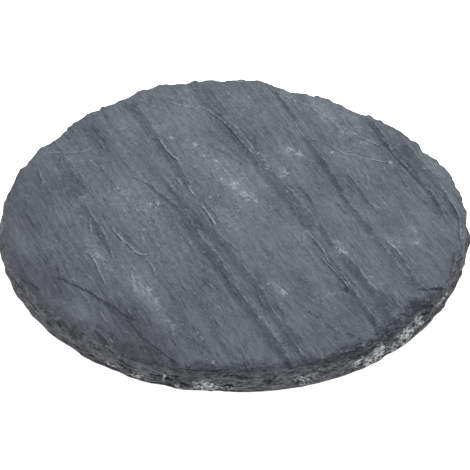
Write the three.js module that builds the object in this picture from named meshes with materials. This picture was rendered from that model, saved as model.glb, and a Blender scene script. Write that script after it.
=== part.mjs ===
import * as THREE from 'three';

// A round garden stepping stone of riven slate, one solid piece of rock.
// It was split from a block along the cleavage, so both faces are nearly flat, and its
// edge was then nibbled round by hand, which leaves scooped chips along the upper edge
// and a rough, layered rim below them.
//
// Millimetres, +Z up. The stone lies flat on z = 0 with the origin under its middle.
// +X is to the right and +Y is away when the stone is looked at from its front side.

// Main sizes
const THICKNESS = 20;
const LINEATION_DEG = -65;      // the streaks on the face run this way from +X
const GRID_ACROSS = 66;         // face cells across the streaks
const GRID_ALONG = 50;          // face cells along the streaks

// Outline of the stone: angle from +X in degrees, radius in millimetres.
// The far left is a little flattened and a bite is missing from the far right.
const EDGE_RADII = [
  [0, 150.2], [20, 149.8], [30, 147], [45, 146], [55, 143], [64, 145.3],
  [72, 143], [79, 145], [84, 151.5], [90, 150], [98, 151.5], [105, 148.8],
  [111, 151.3], [118, 148.5], [130, 147], [147, 144], [157, 145.5], [165, 147.4],
  [180, 148.2], [195, 149], [215, 148.5], [230, 149], [236, 150.5], [255, 151.3],
  [270, 148.8], [285, 150], [300, 149.3], [325, 147.6], [340, 149.3], [352, 150.6],
];

// Knapped scoops of the upper edge: the angle where each scoop begins and how deep it
// bites. A scoop runs on to the next angle, and a small sharp cusp stands between two.
const SCOOPS = [
  [3, 0.9], [11, 1.3], [17, 0.8], [25, 1.6], [34, 1.1], [42, 0.9], [51, 1.5],
  [60, 1.2], [69, 1.0], [80, 1.4], [90, 1.2], [100, 1.5], [109, 1.0], [116, 1.7],
  [127, 1.2], [133, 1.3], [140, 1.8], [152, 1.0], [163, 0.6], [176, 0.5],
  [190, 0.5], [204, 0.6], [218, 0.8], [229, 0.7], [238, 1.0], [247, 1.3],
  [254, 0.9], [259, 1.4], [267, 1.1], [274, 1.5], [281, 1.0], [288, 1.6],
  [296, 1.2], [303, 1.5], [311, 1.3], [317, 1.8], [325, 1.4], [332, 1.1],
  [340, 1.6], [347, 1.0], [355, 1.2],
];

// Height on the rim, from 0 at the bottom to 1 at the upper edge, with how far the rim
// stands out there and how much of the scoops still shows. The underside is the rounder
// of the two outlines: EDGE_KEPT_BELOW is the share of the upper outline's bites in it.
const RIM_LEVELS = [
  { t: 1.00, out: 0.0, scoop: 1.0 },
  { t: 0.88, out: 0.3, scoop: 0.9 },
  { t: 0.70, out: 0.9, scoop: 0.5 },
  { t: 0.52, out: 0.9, scoop: 0.3 },
  { t: 0.32, out: 1.0, scoop: 0.2 },
  { t: 0.12, out: 0.7, scoop: 0.2 },
  { t: 0.00, out: 0.0, scoop: 0.15 },
];
const MEAN_RADIUS = 149;
const EDGE_KEPT_BELOW = 0.55;
const RIM_ROUGHNESS = 1.1;

// Flake scars where thin layers have come off the face beside the edge: angle, reach
// inward, half width along the edge and drop below the face.
const SCARS = [
  { deg: 322, reach: 13, half: 9, drop: 1.7 },
  { deg: 329, reach: 10, half: 6, drop: 1.2 },
  { deg: 311, reach: 8, half: 12, drop: 1.9 },
  { deg: 300, reach: 5, half: 14, drop: 1.3 },
  { deg: 287, reach: 4, half: 10, drop: 1.0 },
  { deg: 276, reach: 5, half: 12, drop: 1.2 },
  { deg: 263, reach: 4, half: 9, drop: 1.1 },
  { deg: 249, reach: 9, half: 16, drop: 1.6 },
  { deg: 236, reach: 12, half: 18, drop: 1.4 },
  { deg: 340, reach: 5, half: 12, drop: 1.1 },
  { deg: 28, reach: 6, half: 14, drop: 1.0 },
  { deg: 57, reach: 8, half: 16, drop: 1.5 },
  { deg: 96, reach: 5, half: 12, drop: 0.9 },
  { deg: 122, reach: 6, half: 13, drop: 1.1 },
  { deg: 146, reach: 8, half: 15, drop: 1.2 },
];

// The left of the stone is worn: there the face rolls over into the rim.
const WEAR = { deg: 205, half: 55, reach: 11, drop: 3.2 };

// Shallow troughs that run down the face with the streaks.
const TROUGHS = [
  {
    width: 7, depth: 0.55,
    path: [[-26, 143], [-22, 120], [5, 75], [25, 40], [45, 0], [60, -22], [73, -60], [97, -120]],
  },
  {
    width: 5, depth: 0.4,
    path: [[-70, 45], [-38, 0], [-22, -25], [-10, -55], [5, -80], [18, -110], [32, -145]],
  },
  { width: 4, depth: 0.3, path: [[-15, -10], [0, -35], [10, -60], [20, -85], [45, -148]] },
  { width: 5, depth: 0.3, path: [[60, 45], [72, 20], [85, -10], [97, -45], [112, -75]] },
  { width: 4, depth: 0.35, path: [[90, 100], [103, 75], [115, 50], [130, 15], [140, -10]] },
  { width: 5, depth: 0.25, path: [[-65, 118], [-55, 92], [-45, 62], [-30, 30]] },
  { width: 5, depth: 0.25, path: [[-122, 62], [-108, 25], [-98, 0], [-85, -35], [-72, -64]] },
];

// Broken edges of thin layers. The face to the left of each path, walking along it,
// stands higher by the step, which rises over a short slope, and the face comes back to
// level over the fade distance.
const LEDGE_SLOPE = 3.5;
const LEDGES = [
  {
    step: 0.7, fade: 14,
    path: [[-70, 129], [-45, 121], [-22, 117], [-5, 98], [10, 75], [20, 58]],
  },
  { step: 0.8, fade: 16, path: [[105, 60], [85, 64], [70, 72], [52, 82]] },
  { step: 0.6, fade: 14, path: [[103, 75], [85, 88], [70, 105], [48, 120]] },
  { step: 0.6, fade: 12, path: [[-128, 60], [-100, 63], [-88, 70], [-70, 84]] },
  { step: 0.9, fade: 12, path: [[-65, -103], [-78, -92], [-100, -75], [-122, -66]] },
  { step: 0.7, fade: 10, path: [[73, -72], [65, -60], [58, -45], [48, -28]] },
  { step: 1.1, fade: 10, path: [[142, -70], [128, -72], [116, -70]] },
  { step: 0.7, fade: 9, path: [[-8, -136], [-35, -112], [-45, -95], [-52, -78]] },
];

const DEG = Math.PI / 180;
const { clamp, lerp, smoothstep } = THREE.MathUtils;

// Repeatable unevenness: a fixed value for each point of a lattice, blended smoothly
// between the points, from -1 to 1
function latticeValue(i, j) {
  const v = Math.sin(i * 127.1 + j * 311.7) * 43758.5453;
  return 2 * (v - Math.floor(v)) - 1;
}

function unevenness(x, y) {
  const i = Math.floor(x);
  const j = Math.floor(y);
  const s = smoothstep(x - i, 0, 1);
  const t = smoothstep(y - j, 0, 1);
  const near = lerp(latticeValue(i, j), latticeValue(i + 1, j), s);
  const far = lerp(latticeValue(i, j + 1), latticeValue(i + 1, j + 1), s);
  return lerp(near, far, t);
}

// Unevenness that closes on itself round the rim, with lumps of about the given size
function rimUnevenness(deg, size, shift) {
  const turns = MEAN_RADIUS / size;
  return unevenness(turns * Math.cos(deg * DEG) + shift, turns * Math.sin(deg * DEG) + shift);
}

// Find where an angle falls in a list sorted by angle, going round past 360 degrees
function spanAt(angles, deg) {
  const wrapped = ((deg - angles[0]) % 360 + 360) % 360 + angles[0];
  let i = angles.length - 1;
  while (angles[i] > wrapped) i -= 1;
  const end = i + 1 < angles.length ? angles[i + 1] : angles[0] + 360;
  return { i, next: (i + 1) % angles.length, s: (wrapped - angles[i]) / (end - angles[i]) };
}

const edgeAngles = EDGE_RADII.map((row) => row[0]);
const scoopAngles = SCOOPS.map((row) => row[0]);

function outlineRadius(deg) {
  const { i, next, s } = spanAt(edgeAngles, deg);
  return lerp(EDGE_RADII[i][1], EDGE_RADII[next][1], smoothstep(s, 0, 1));
}

// A scoop is a shallow bowl between its two cusps, measured from its mean depth
function scoopDepth(deg) {
  const { i, s } = spanAt(scoopAngles, deg);
  return SCOOPS[i][1] * (4 * s * (1 - s) - 0.6);
}

// Radius of the rim at one of its levels
function rimRadius(deg, level) {
  const kept = lerp(EDGE_KEPT_BELOW, 1, level.t);
  const outline = lerp(MEAN_RADIUS, outlineRadius(deg), kept);
  const rough = level.t > 0 && level.t < 1 ? RIM_ROUGHNESS : 0.25;
  const lump = rough * rimUnevenness(deg, 7.5, 31 * level.t);
  const nibble = 0.35 * level.scoop * rimUnevenness(deg, 4.5, 9);
  return outline + level.out - level.scoop * scoopDepth(deg) + lump + nibble;
}

// Distance from a point to a path, with the side of the path it lies on (left is
// positive) and how far along the path the nearest spot is, from 0 to 1
function nearPath(path, x, y) {
  let best = { distance: Infinity, side: 1, along: 0 };
  for (let i = 0; i + 1 < path.length; i += 1) {
    const dx = path[i + 1][0] - path[i][0];
    const dy = path[i + 1][1] - path[i][1];
    const px = x - path[i][0];
    const py = y - path[i][1];
    const s = clamp((px * dx + py * dy) / (dx * dx + dy * dy), 0, 1);
    const distance = Math.hypot(px - s * dx, py - s * dy);
    if (distance < best.distance) {
      const side = dx * py - dy * px >= 0 ? 1 : -1;
      best = { distance, side, along: (i + s) / (path.length - 1) };
    }
  }
  return best;
}

const alongX = Math.cos(LINEATION_DEG * DEG);
const alongY = Math.sin(LINEATION_DEG * DEG);

// Height of the riven face at a point, before the edge is worn and chipped
function faceHeight(x, y) {
  const along = x * alongX + y * alongY;
  const across = -x * alongY + y * alongX;
  let z = THICKNESS;
  z += 0.45 * unevenness(along / 70 + 4, across / 24);
  z += 0.2 * unevenness(along / 34 + 11, across / 9);
  for (const { width, depth, path } of TROUGHS) {
    const { distance } = nearPath(path, x, y);
    z -= depth * Math.exp(-((distance / width) ** 2));
  }
  for (const { step, fade, path } of LEDGES) {
    const { distance, side, along: s } = nearPath(path, x, y);
    const ends = smoothstep(s, 0, 0.15) * (1 - smoothstep(s, 0.85, 1));
    const rise = side * smoothstep(distance, 0, LEDGE_SLOPE);
    z += 0.5 * rise * step * ends * Math.exp(-distance / fade);
  }
  return z;
}

// How far the face drops beside the edge: a slight fall all round, the worn left side
// and the flake scars. The distance inward is measured from the upper edge.
function edgeDrop(deg, inward) {
  const turned = (from) => Math.abs(((deg - from) % 360 + 540) % 360 - 180);
  let drop = 0.5 * (1 - smoothstep(inward, 0, 6));
  const worn = 1 - smoothstep(turned(WEAR.deg) / WEAR.half, 0.3, 1);
  drop += worn * WEAR.drop * (1 - smoothstep(inward, -WEAR.reach, WEAR.reach)) * 2;
  for (const scar of SCARS) {
    const sideways = turned(scar.deg) * DEG * MEAN_RADIUS / scar.half;
    const depthways = inward / scar.reach;
    const inside = 1 - smoothstep(Math.hypot(sideways, depthways), 0.6, 1);
    drop += inside * scar.drop * (0.55 + 0.45 * clamp(1 - depthways, 0, 1));
  }
  return drop;
}

// The face is a square grid laid along the streaks and rounded out into a disc.
// Its lines are drawn a little closer together towards the edge.
const crowd = (v) => 1.06 * v - 0.06 * v ** 9;

function facePoint(a, b) {
  const p = crowd(a * 2 / GRID_ACROSS - 1);
  const q = crowd(b * 2 / GRID_ALONG - 1);
  const discX = p * Math.sqrt(1 - q * q / 2);
  const discY = q * Math.sqrt(1 - p * p / 2);
  const deg = Math.atan2(discY, discX) / DEG + LINEATION_DEG + 90;
  const edge = rimRadius(deg, RIM_LEVELS[0]);
  const r = Math.min(1, Math.hypot(discX, discY)) * edge;
  const x = r * Math.cos(deg * DEG);
  const y = r * Math.sin(deg * DEG);
  return { deg, x, y, z: faceHeight(x, y) - edgeDrop(deg, edge - r) };
}

function buildStone() {
  const points = [];
  const triangles = [];
  const add = (x, y, z) => points.push(x, y, z) / 3 - 1;

  // Upper face
  const face = [];
  for (let b = 0; b <= GRID_ALONG; b += 1) {
    for (let a = 0; a <= GRID_ACROSS; a += 1) {
      const point = facePoint(a, b);
      add(point.x, point.y, point.z);
      face.push(point);
    }
  }
  const at = (a, b) => b * (GRID_ACROSS + 1) + a;
  for (let b = 0; b < GRID_ALONG; b += 1) {
    for (let a = 0; a < GRID_ACROSS; a += 1) {
      const [p, q, r, s] = [at(a, b), at(a + 1, b), at(a + 1, b + 1), at(a, b + 1)];
      const towardMiddle = (a < GRID_ACROSS / 2) === (b < GRID_ALONG / 2);
      if (towardMiddle) triangles.push(p, q, r, p, r, s);
      else triangles.push(p, q, s, q, r, s);
    }
  }

  // Border of the face, taken anticlockwise, and the rows of the rim below it
  const border = [];
  for (let a = 0; a < GRID_ACROSS; a += 1) border.push(at(a, 0));
  for (let b = 0; b < GRID_ALONG; b += 1) border.push(at(GRID_ACROSS, b));
  for (let a = GRID_ACROSS; a > 0; a -= 1) border.push(at(a, GRID_ALONG));
  for (let b = GRID_ALONG; b > 0; b -= 1) border.push(at(0, b));

  let upper = border;
  for (const level of RIM_LEVELS.slice(1)) {
    const lower = border.map((index) => {
      const { deg, z: top } = face[index];
      const r = rimRadius(deg, level);
      const wander = level.t > 0 ? 0.9 * rimUnevenness(deg, 10, 20 * level.t) : 0;
      return add(r * Math.cos(deg * DEG), r * Math.sin(deg * DEG), level.t * top + wander);
    });
    for (let k = 0; k < border.length; k += 1) {
      const n = (k + 1) % border.length;
      triangles.push(upper[k], lower[k], lower[n], upper[k], lower[n], upper[n]);
    }
    upper = lower;
  }

  // Flat underside
  const middle = add(0, 0, 0);
  for (let k = 0; k < border.length; k += 1) {
    triangles.push(middle, upper[(k + 1) % border.length], upper[k]);
  }

  const geometry = new THREE.BufferGeometry();
  geometry.setAttribute('position', new THREE.Float32BufferAttribute(points, 3));
  geometry.setIndex(triangles);
  geometry.computeBoundingBox();
  const centre = geometry.boundingBox.getCenter(new THREE.Vector3());
  geometry.translate(-centre.x, -centre.y, 0);
  geometry.computeVertexNormals();
  return geometry;
}

const slate = new THREE.MeshStandardMaterial({ color: 0x5f6369, roughness: 0.78, metalness: 0 });
const stone = new THREE.Mesh(buildStone(), slate);
stone.name = 'slate_stone';

const part = new THREE.Group();
part.name = 'slate_stepping_stone';
part.add(stone);

export default part;
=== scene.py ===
# %% [markdown]
# # A riven slate stepping stone
#
# The object is one slab of slate, about 300 mm across and 20 mm thick. Slate splits
# along its cleavage, so the face is nearly flat, with dark bands, thin broken layers and
# fine streaks that all run the same way. The edge was nibbled round by hand.
#
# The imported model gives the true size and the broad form. It is loaded as a fixed frame,
# and everything below is built round it in the same place, in metres, with +Z up.

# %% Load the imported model
import math
import random

import bmesh
import bpy
import numpy as np
from mathutils import Matrix, Vector


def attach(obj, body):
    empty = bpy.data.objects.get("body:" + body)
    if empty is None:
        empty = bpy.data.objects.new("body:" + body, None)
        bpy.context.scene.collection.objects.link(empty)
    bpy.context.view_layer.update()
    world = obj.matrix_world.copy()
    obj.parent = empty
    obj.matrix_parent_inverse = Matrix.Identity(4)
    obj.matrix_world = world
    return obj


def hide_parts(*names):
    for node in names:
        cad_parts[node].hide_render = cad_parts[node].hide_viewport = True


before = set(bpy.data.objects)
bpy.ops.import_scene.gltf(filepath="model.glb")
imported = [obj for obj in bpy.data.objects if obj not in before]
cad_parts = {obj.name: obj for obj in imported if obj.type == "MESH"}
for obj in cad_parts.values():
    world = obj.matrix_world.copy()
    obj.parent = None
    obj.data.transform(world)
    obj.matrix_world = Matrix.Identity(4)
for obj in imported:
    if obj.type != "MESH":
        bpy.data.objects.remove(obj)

scene = bpy.context.scene
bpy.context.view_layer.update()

# %% [markdown]
# ## Unevenness that can be repeated
#
# A stone is irregular at every size. The usual ways to get that are sculpting, a Displace
# modifier with a texture, or a formula. The solid model uses a formula, and the same one
# here gives the same lumps in the same places. It is value noise: each point of a square
# lattice has a fixed value from -1 to 1, and the values in between are blended smoothly.
# All the shaping below works in millimetres.

# %% Value noise and a smooth ramp
MM = 0.001


def ramp(value, low, high):
    """0 below low, 1 above high, and a smooth rise between them."""
    t = np.clip((value - low) / (high - low), 0.0, 1.0)
    return t * t * (3.0 - 2.0 * t)


def lattice_value(i, j):
    v = np.sin(i * 127.1 + j * 311.7) * 43758.5453
    return 2.0 * (v - np.floor(v)) - 1.0


def unevenness(x, y):
    i, j = np.floor(x), np.floor(y)
    s, t = ramp(x - i, 0, 1), ramp(y - j, 0, 1)
    near = lattice_value(i, j) * (1 - s) + lattice_value(i + 1, j) * s
    far = lattice_value(i, j + 1) * (1 - s) + lattice_value(i + 1, j + 1) * s
    return near * (1 - t) + far * t


sample = unevenness(np.linspace(0, 50, 500), np.linspace(0, 31, 500))
print(f"unevenness runs from {sample.min():.2f} to {sample.max():.2f}")

# %% [markdown]
# ## The outline of the stone
#
# From above the stone is a hand-made circle: its radius wanders by a few millimetres, and
# the upper edge is a row of shallow scoops with a sharp cusp between each two. The outline
# could be a curve, but a list of radii by angle is easier to read and to change. The
# values are the solid model's. The list's origin isn't quite the middle of the stone, so
# the finished mesh is moved by OUTLINE_MIDDLE at the end.

# %% Outline and scoops
THICKNESS = 20.0
MEAN_RADIUS = 149.0
OUTLINE_MIDDLE = (0.860, 0.566)

EDGE_RADII = [
    (0, 150.2), (20, 149.8), (30, 147), (45, 146), (55, 143), (64, 145.3), (72, 143), (79, 145),
    (84, 151.5), (90, 150), (98, 151.5), (105, 148.8), (111, 151.3), (118, 148.5), (130, 147),
    (147, 144), (157, 145.5), (165, 147.4), (180, 148.2), (195, 149), (215, 148.5), (230, 149),
    (236, 150.5), (255, 151.3), (270, 148.8), (285, 150), (300, 149.3), (325, 147.6),
    (340, 149.3), (352, 150.6),
]
SCOOPS = [
    (3, 0.9), (11, 1.3), (17, 0.8), (25, 1.6), (34, 1.1), (42, 0.9), (51, 1.5), (60, 1.2),
    (69, 1), (80, 1.4), (90, 1.2), (100, 1.5), (109, 1), (116, 1.7), (127, 1.2), (133, 1.3),
    (140, 1.8), (152, 1), (163, 0.6), (176, 0.5), (190, 0.5), (204, 0.6), (218, 0.8), (229, 0.7),
    (238, 1), (247, 1.3), (254, 0.9), (259, 1.4), (267, 1.1), (274, 1.5), (281, 1), (288, 1.6),
    (296, 1.2), (303, 1.5), (311, 1.3), (317, 1.8), (325, 1.4), (332, 1.1), (340, 1.6), (347, 1),
    (355, 1.2),
]


def span_at(rows, deg):
    """For each angle: the value of the row it falls after, the next row's, and the share."""
    angles = np.array([row[0] for row in rows], float)
    values = np.array([row[1] for row in rows], float)
    wrapped = (deg - angles[0]) % 360.0 + angles[0]
    i = np.searchsorted(angles, wrapped, side="right") - 1
    ends = np.append(angles, angles[0] + 360.0)
    share = (wrapped - ends[i]) / (ends[i + 1] - ends[i])
    return values[i], np.append(values, values[0])[i + 1], share


def outline_radius(deg):
    here, after, share = span_at(EDGE_RADII, deg)
    return here + (after - here) * ramp(share, 0, 1)


def scoop_depth(deg):
    depth, _, share = span_at(SCOOPS, deg)
    return depth * (4.0 * share * (1.0 - share) - 0.6)


def turned(deg, centre):
    """Angle between two directions, 0 to 180."""
    return np.abs((deg - centre + 180.0) % 360.0 - 180.0)


def near_angle(deg, centre, within, beyond):
    """1 within this angle of a direction, 0 beyond that one."""
    return 1 - ramp(turned(deg, centre), within, beyond)


def along_rim(deg, centre):
    """Distance along the rim to a direction."""
    return turned(deg, centre) * math.radians(1) * MEAN_RADIUS


def polar(radius, deg):
    return radius * np.cos(np.radians(deg)), radius * np.sin(np.radians(deg))


def rim_unevenness(deg, size, shift):
    """Noise sampled on a circle, so that it closes on itself round the rim."""
    x, y = polar(MEAN_RADIUS / size, deg)
    return unevenness(x + shift, y + shift)


around = outline_radius(np.arange(360.0))
print(f"outline radius {around.min():.1f} to {around.max():.1f} mm")

# %% [markdown]
# ## The broken rim
#
# Below the upper edge the rim is a rough, layered break. Its broad shape is the solid
# model's: a radius for each of seven levels, with lumps. Three finer things are added
# that the solid is too coarse for. Thin layers, each about two millimetres thick, stand
# out or fall back for a short way along the rim. Shell-shaped cuts show where the tool
# struck, with a sharp ridge between each two. And a small roughness covers all of it.

# %% Radius of the rim at any height
RIM_LEVELS = [
    # height share, stands out, share of the scoops
    (1, 0, 1), (0.88, 0.3, 0.9), (0.7, 0.9, 0.5), (0.52, 0.9, 0.3),
    (0.32, 1, 0.2), (0.12, 0.7, 0.2), (0, 0, 0.15),
]
EDGE_KEPT_BELOW = 0.55
RIM_ROUGHNESS = 1.1
END_ROUGHNESS = 0.25
RIM_LAYERS = 10
LAYER_OFFSET = 0.5
CRUMB_OFFSET = 0.17
BENCH_WIDTH = 1.3
CUT_SPACING = 9.5
CUT_ROW_HEIGHTS = (15.5, 10.0, 4.5)
MEAN_CUT = 0.6


def level_radius(deg, level):
    t, out, scoop = level
    kept = EDGE_KEPT_BELOW + (1.0 - EDGE_KEPT_BELOW) * t
    outline = MEAN_RADIUS + (outline_radius(deg) - MEAN_RADIUS) * kept
    rough = RIM_ROUGHNESS if 0 < t < 1 else END_ROUGHNESS
    lump = rough * rim_unevenness(deg, 7.5, 31 * t)
    nibble = 0.35 * scoop * rim_unevenness(deg, 4.5, 9)
    return outline + out - scoop * scoop_depth(deg) + lump + nibble


def rim_radius(deg, t):
    """The solid model's rim at height share t, blended between its levels."""
    below = next(k for k in range(1, len(RIM_LEVELS)) if RIM_LEVELS[k][0] <= t + 1e-9)
    upper, lower = RIM_LEVELS[below - 1], RIM_LEVELS[below]
    share = (t - lower[0]) / (upper[0] - lower[0])
    return level_radius(deg, upper) * share + level_radius(deg, lower) * (1 - share)


def bench(deg, t):
    """A flake has come off just below the edge and left a narrow sloping bench."""
    width = BENCH_WIDTH * np.clip(0.5 + 1.1 * rim_unevenness(deg, 17, 50), 0, 1)
    return width * ramp(1 - t, 0.05, 0.16) * (1 - ramp(1 - t, 0.35, 0.6))


def layer_offset(deg, layer, t):
    """One thin layer stands out or falls back in short broken lengths."""
    length = np.clip(1.7 * rim_unevenness(deg + 37 * layer, 8.0, 70 + 9 * layer), -1, 1)
    crumb = rim_unevenness(deg, 2.6, 5 * layer) + 0.6 * rim_unevenness(deg, 1.3, 400 * t)
    return LAYER_OFFSET * length + CRUMB_OFFSET * crumb


shaper = random.Random(7)
cuts = []
for row_height in CUT_ROW_HEIGHTS:
    for k in range(round(2 * math.pi * MEAN_RADIUS / CUT_SPACING)):
        cuts.append((
            # angle, height, half width, half height, depth, tone
            math.degrees(CUT_SPACING / MEAN_RADIUS) * (k + shaper.uniform(-0.45, 0.45)),
            row_height + shaper.uniform(-2.0, 2.0),
            shaper.uniform(5.0, 11.0), shaper.uniform(3.5, 6.5),
            shaper.uniform(0.3, 1.7), shaper.uniform(-1, 1),
        ))


def knapped(deg, height):
    """Shell-shaped cuts: depth of the deepest one here, how far it leads, and its tone."""
    deepest, second = np.zeros(len(deg)), np.zeros(len(deg))
    tone = np.zeros(len(deg))
    for centre, middle, half, half_height, full_depth, shade in cuts:
        sideways = along_rim(deg, centre) / half
        depth = full_depth * (1 - sideways ** 2 - ((height - middle) / half_height) ** 2)
        second = np.maximum(second, np.minimum(depth, deepest))
        tone = np.where(depth > deepest, shade, tone)
        deepest = np.maximum(deepest, depth)
    return deepest, deepest - second, tone


print(len(RIM_LEVELS), "levels of the rim,", RIM_LAYERS, "layers and", len(cuts), "cuts")

# %% [markdown]
# ## The riven face
#
# The face is what is seen first. It has three sizes of relief. Long soft waves and shallow
# troughs run down the streaks. Thin layers have broken away along ledges a fraction of a
# millimetre high. And the whole face is finely grooved. The first two use the solid
# model's values, so that the two surfaces agree. The ledges are sharper here, and small
# terraces, where only a very thin layer has gone, are added with the grooves.

# %% Troughs and ledges of the face
LINEATION_DEG = -65.0
ALONG = (math.cos(math.radians(LINEATION_DEG)), math.sin(math.radians(LINEATION_DEG)))

TROUGHS = [
    # half width, depth, path
    (7, 0.55, (-26, 143), (-22, 120), (5, 75), (25, 40), (45, 0), (60, -22), (73, -60),
        (97, -120)),
    (5, 0.4, (-70, 45), (-38, 0), (-22, -25), (-10, -55), (5, -80), (18, -110), (32, -145)),
    (4, 0.3, (-15, -10), (0, -35), (10, -60), (20, -85), (45, -148)),
    (5, 0.3, (60, 45), (72, 20), (85, -10), (97, -45), (112, -75)),
    (4, 0.35, (90, 100), (103, 75), (115, 50), (130, 15), (140, -10)),
    (5, 0.25, (-65, 118), (-55, 92), (-45, 62), (-30, 30)),
    (5, 0.25, (-122, 62), (-108, 25), (-98, 0), (-85, -35), (-72, -64)),
]
WAVE_DEPTHS = (0.45, 0.2)
LEDGE_SLOPE = 1.1
LEDGES = [
    # step, fade, path: the face to the left of the path, walking along it, is higher
    (0.7, 14, (-70, 129), (-48, 122), (-30, 116), (-22, 117), (-12, 107), (-6, 98), (6, 77),
        (15, 62)),
    (0.8, 16, (104, 59), (84, 63), (74, 67), (66, 74), (50, 84)),
    (0.6, 14, (100, 75), (83, 87), (67, 102), (52, 118)),
    (0.6, 12, (-128, 60), (-100, 63), (-88, 70), (-70, 84)),
    (0.7, 12, (-118, -66), (-100, -73), (-80, -90), (-66, -103), (-50, -114)),
    (0.7, 10, (74, -72), (66, -58), (56, -42), (48, -28)),
    (1.1, 10, (142, -70), (130, -71), (116, -72)),
    (0.7, 9, (-8, -136), (-35, -112), (-45, -95), (-52, -78)),
    (0.5, 6, (113, -97), (103, -97)),
    (0.5, 6, (120, -82), (114, -92)),
    (0.5, 8, (-33, 51), (-44, 66), (-52, 82)),
    (0.5, 8, (-11, -13), (-20, 7), (-30, 27)),
    (0.4, 6, (-52, -44), (-60, -42), (-77, -18)),
]
TERRACE_STEP = 0.16
GROOVE_DEPTHS = (0.07, 0.05)
GRAIN_DEPTH = 0.035


def near_path(path, x, y):
    """Distance to a path, side of it (left is positive) and place along it, 0 to 1."""
    best = np.full(x.shape, 1e9)
    side = np.ones(x.shape)
    place = np.zeros(x.shape)
    for k in range(len(path) - 1):
        (ax, ay), (bx, by) = path[k], path[k + 1]
        dx, dy = bx - ax, by - ay
        px, py = x - ax, y - ay
        s = np.clip((px * dx + py * dy) / (dx * dx + dy * dy), 0, 1)
        distance = np.hypot(px - s * dx, py - s * dy)
        closer = distance < best
        best = np.where(closer, distance, best)
        side = np.where(closer, np.where(dx * py - dy * px >= 0, 1.0, -1.0), side)
        place = np.where(closer, (k + s) / (len(path) - 1), place)
    return best, side, place


def faded_ends(place, share):
    """1 along the middle of a path, and a smooth fall to 0 over this share at each end."""
    return ramp(place, 0, share) * (1 - ramp(place, 1 - share, 1))


def streak_axes(x, y):
    """Distance along the streaks and across them."""
    return x * ALONG[0] + y * ALONG[1], -x * ALONG[1] + y * ALONG[0]


def ragged_place(x, y):
    """The same place, moved a little, so that what follows a path gets a ragged course."""
    along, across = streak_axes(x, y)
    wide_x = 0.8 * unevenness(along / 16, across / 10)
    wide_y = 0.8 * unevenness(along / 16 + 40, across / 10)
    fine_x = 0.3 * unevenness(along / 4.5, across / 2.5)
    fine_y = 0.3 * unevenness(x / 3.4 + 40, y / 3.4)
    return x + wide_x + fine_x, y + wide_y + fine_y


def soft_spot(u, v):
    """1 in the middle of an oval spot, fading outward; u and v are in its half sizes."""
    return np.exp(-(u ** 2) - v ** 2)


def terrace(field):
    """Turns a smooth field into flat treads with short, steep risers."""
    tread = np.floor(field)
    return tread + ramp(field - tread, 0.86, 1.0)


def face_height(x, y):
    along, across = streak_axes(x, y)
    z = THICKNESS + WAVE_DEPTHS[0] * unevenness(along / 70 + 4, across / 24)
    z = z + WAVE_DEPTHS[1] * unevenness(along / 34 + 11, across / 9)
    for half_width, depth, *path in TROUGHS:
        distance, _, _ = near_path(path, x, y)
        z = z - depth * soft_spot(distance / half_width, 0)
    ledge_x, ledge_y = ragged_place(x, y)
    for step, fade, *path in LEDGES:
        distance, side, place = near_path(path, ledge_x, ledge_y)
        lifted = 0.5 * side * ramp(distance, 0, LEDGE_SLOPE) * step
        z = z + lifted * faded_ends(place, 0.15) * np.exp(-distance / fade)
    ragged = 0.25 * unevenness(x / 3.1, y / 3.1)
    flakes = 1.5 * unevenness(along / 44 + 3, across / 15)
    flakes = 2.2 * (flakes + 0.8 * unevenness(along / 19, across / 7))
    z = z + TERRACE_STEP * (terrace(flakes + ragged) - flakes)
    z = z + GROOVE_DEPTHS[0] * unevenness(along / 36, across / 2.7 + 5)
    z = z + GROOVE_DEPTHS[1] * unevenness(along / 11 + 2, across / 1.9)
    return z + GRAIN_DEPTH * unevenness(x / 2.0, y / 2.0)


print(len(TROUGHS), "troughs and", len(LEDGES), "ledges on the face")

# %% [markdown]
# ## The worn and chipped edge
#
# Beside the edge the face falls away: a little all round, a lot on the left, where the
# stone is worn round, and in flake scars, where thin layers came off when the edge was
# struck. The large scars are the solid model's. Small ones are scattered between them by
# a seeded random generator, so that they are the same at every run. Scars have a ragged
# border: a neat oval would look stamped.

# %% Flake scars along the edge
SCARS = [
    # angle, reach inward, half width along the edge, drop
    (322, 13, 9, 1.7), (329, 10, 6, 1.2), (311, 8, 12, 1.9), (300, 5, 14, 1.3), (287, 4, 10, 1),
    (276, 5, 12, 1.2), (263, 4, 9, 1.1), (249, 9, 16, 1.6), (236, 12, 18, 1.4), (340, 5, 12, 1.1),
    (28, 6, 14, 1), (57, 8, 16, 1.5), (96, 5, 12, 0.9), (122, 6, 13, 1.1), (146, 8, 15, 1.2),
]
WEAR_DEG, WEAR_HALF, WEAR_REACH, WEAR_DROP = 205, 55, 8, 3.0
EDGE_REACH, EDGE_DROP = 6, 0.5
SMALL_SCARS = 120

chooser = random.Random(20)
small_scars = [
    (chooser.uniform(0, 360), chooser.uniform(1.2, 4.0),
     chooser.uniform(1.8, 6.0), chooser.uniform(0.25, 0.8))
    for _ in range(SMALL_SCARS)
]


def across_scar(deg, inward, centre, reach, half):
    """0 in the middle of a scar and 1 on its border, which is ragged."""
    x, y = polar((MEAN_RADIUS - inward) / 3.4, deg)
    sideways = along_rim(deg, centre) + 2.0 * unevenness(x, y)
    return np.hypot(sideways / half, (inward + 1.3 * unevenness(x + 20, y)) / reach)


def scar_drop(deg, inward, scar, floor_share):
    """How far a scar lowers the face: fully over this share of it, less up to its border."""
    centre, reach, half, drop = scar
    inside = 1 - ramp(across_scar(deg, inward, centre, reach, half), floor_share, 1)
    return inside * drop * (0.55 + 0.45 * np.clip(1 - inward / reach, 0, 1))


def worn_share(deg, half):
    return 1 - ramp(turned(deg, WEAR_DEG) / half, 0.3, 1)


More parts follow.
